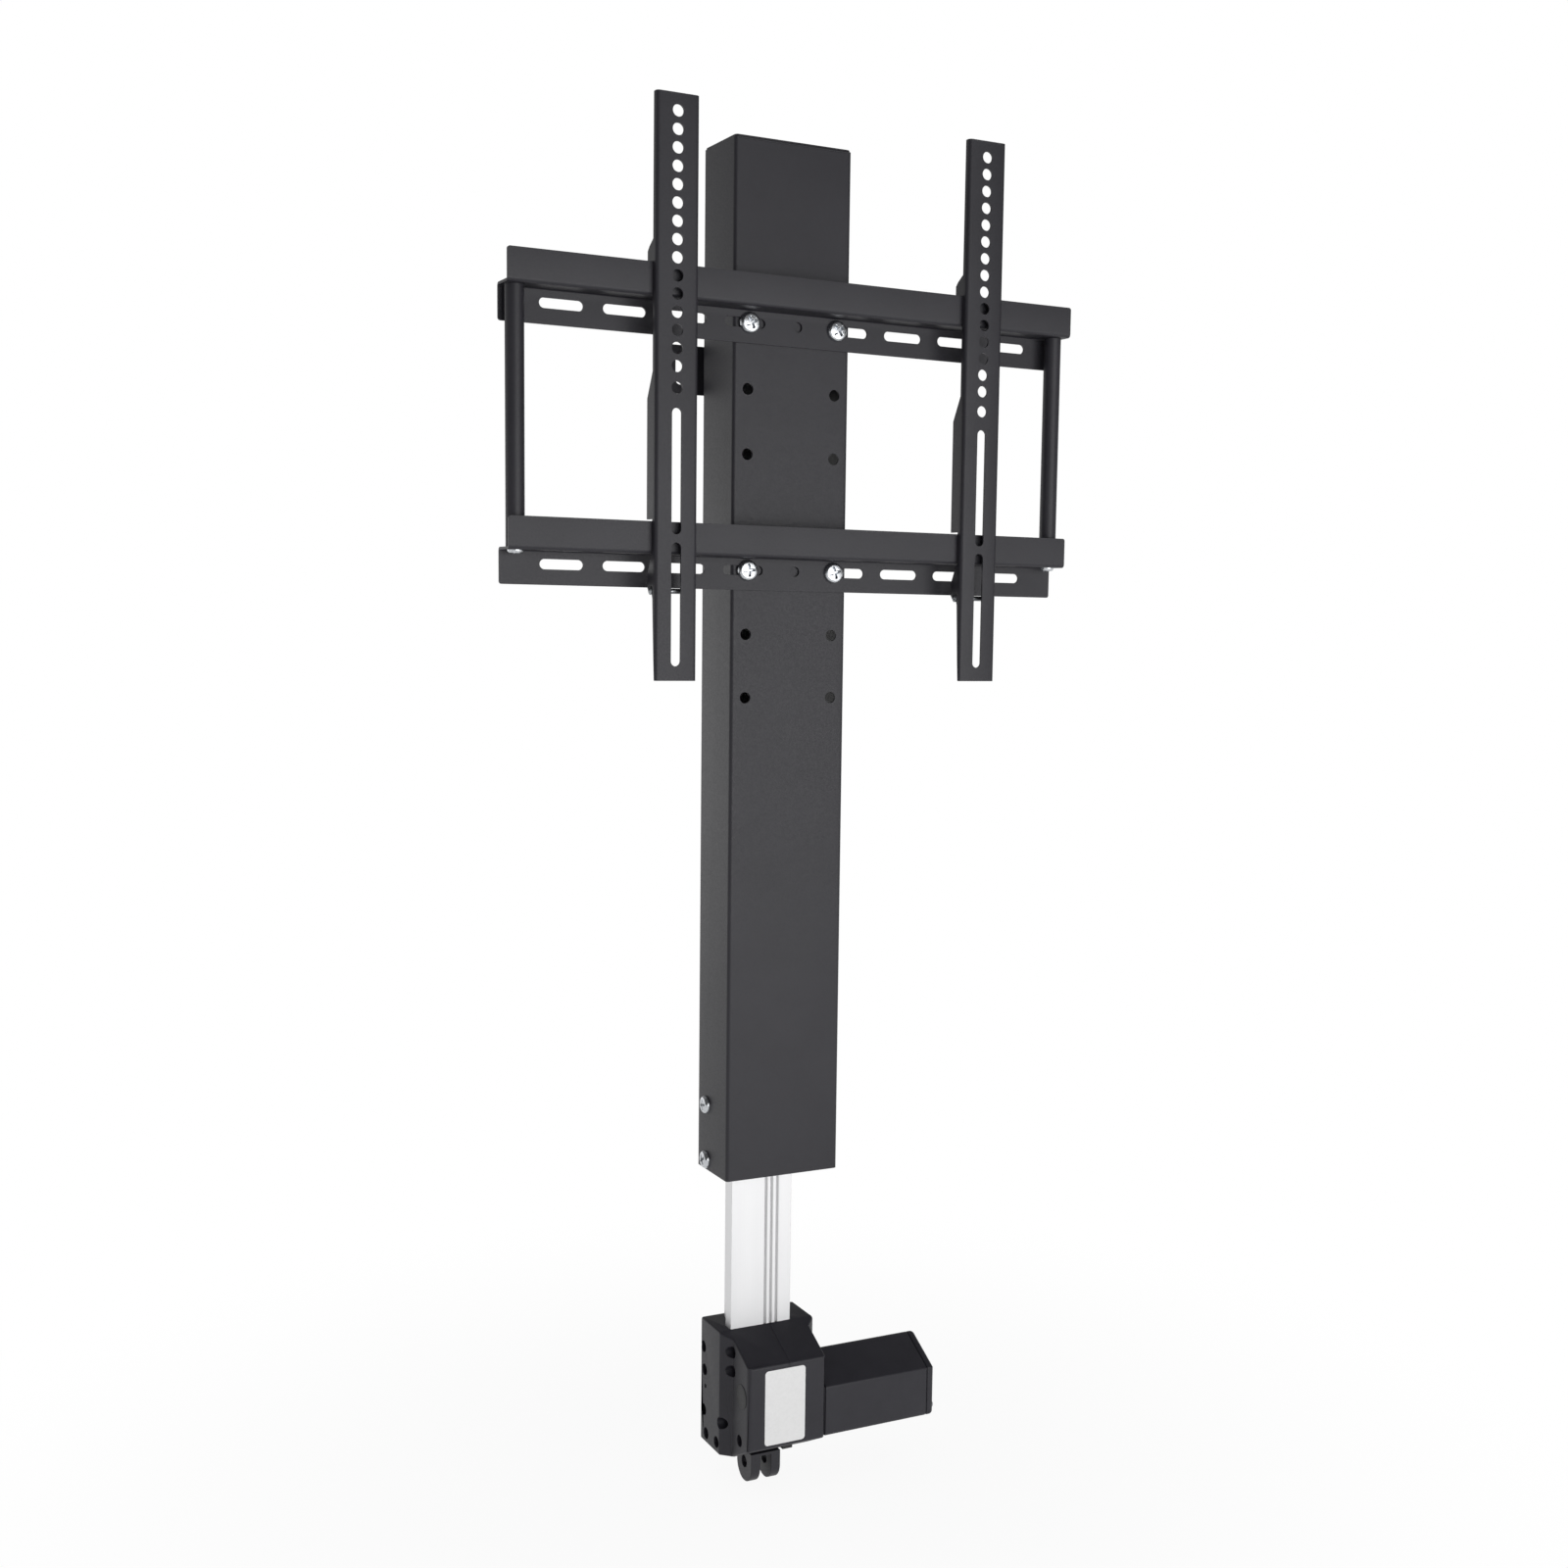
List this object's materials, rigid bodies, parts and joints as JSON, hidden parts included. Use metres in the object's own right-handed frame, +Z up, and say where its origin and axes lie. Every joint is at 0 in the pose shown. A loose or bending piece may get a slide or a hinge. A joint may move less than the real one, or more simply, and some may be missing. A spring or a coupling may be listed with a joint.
{
  "type": "electric column tv lift",
  "caption": "Motorised spindle lift for a flat display: a folded column rides up an aluminium guide rail and carries cross rails with two sliding display arms.",
  "frame": {"origin": "centre of the foot clevis's bore", "axes": "+Z up the lift, +X along the cross rails towards the motor, -Y towards the display"},
  "size_m": [0.48, 0.114, 1.115],
  "materials": {
    "black_steel": "matt black powder coat on folded steel",
    "aluminium": "satin anodised extrusion",
    "zinc_steel": "bright zinc plate on pressed steel",
    "turned_steel": "turned and ground steel",
    "black_nylon": "moulded glass-filled nylon, fine grain",
    "dark_cap": "moulded nylon",
    "slider_nylon": "machined nylon block",
    "acetal": "natural acetal",
    "label": "plain white film",
    "circuit_board": "coated board",
    "bronze": "sintered bronze",
    "wheel_bronze": "hobbed bronze",
    "magnet": "sintered ferrite",
    "winding": "enamelled copper over steel laminations"
  },
  "bodies": {
    "base": {"guide_rail": "aluminium", "rail_end_cap": "dark_cap", "wall_bracket": "black_steel", "bracket_screws": "zinc_steel", "limit_switch_strip": "circuit_board", "limit_switches": "dark_cap", "gearbox_left_half": "black_nylon", "gearbox_right_half": "black_nylon", "gearbox_screws": "turned_steel", "gearbox_plug": "dark_cap", "rating_label": "label", "power_socket": "dark_cap", "foot_clevis": "black_steel", "lower_bearing": "turned_steel", "upper_bearing": "turned_steel", "worm_tail_bush": "bronze", "motor_housing": "black_nylon", "motor_end_cap": "black_nylon", "end_cap_screws": "turned_steel", "motor_can": "turned_steel", "motor_rear_plate": "dark_cap", "motor_magnets": "magnet", "motor_bushes": "bronze"},
    "carriage": {"column": "black_steel", "column_cap": "dark_cap", "upper_rail": "black_steel", "lower_rail": "black_steel", "left_side_tube": "black_steel", "right_side_tube": "black_steel", "tube_screws": "zinc_steel", "rail_bolts": "zinc_steel", "rail_nuts": "zinc_steel", "slider_block": "slider_nylon", "glide_pads": "acetal", "nut_carrier": "black_steel", "carrier_screws": "zinc_steel", "drive_nut": "acetal", "slider_screws": "zinc_steel"},
    "left_hanger": {"left_arm": "black_steel", "left_lock_screw": "turned_steel"},
    "right_hanger": {"right_arm": "black_steel", "right_lock_screw": "turned_steel"},
    "screw_drive": {"spindle": "turned_steel", "spindle_collar": "turned_steel", "worm_wheel": "wheel_bronze"},
    "rotor": {"motor_shaft": "turned_steel", "armature": "winding", "commutator": "winding", "worm": "turned_steel"}
  },
  "joints": [
    {"name": "motor_turn", "type": "hinge", "parent": "base", "child": "rotor", "pos_m": [0, -0.004, 0.057], "axis": [1, 0, 0], "range_deg": [-96460, 400300]},
    {"name": "spindle_turn", "type": "hinge", "parent": "base", "child": "screw_drive", "pos_m": [0, 0.015, 0.057], "axis": [0, 0, 1], "range_deg": [-20025, 4833]},
    {"name": "lift", "type": "slide", "parent": "base", "child": "carriage", "axis": [0, 0, 1], "range_m": [-0.134, 0.556]},
    {"name": "left_arm_slide", "type": "slide", "parent": "carriage", "child": "left_hanger", "axis": [1, 0, 0], "range_m": [-0.092, 0.049]},
    {"name": "right_arm_slide", "type": "slide", "parent": "carriage", "child": "right_hanger", "axis": [1, 0, 0], "range_m": [-0.095, 0.052]}
  ],
  "couplings": [
    {"joint": "spindle_turn", "follows": "motor_turn", "ratio": -0.05},
    {"joint": "lift", "follows": "motor_turn", "m_per_rad": 0.000079577}
  ]
}
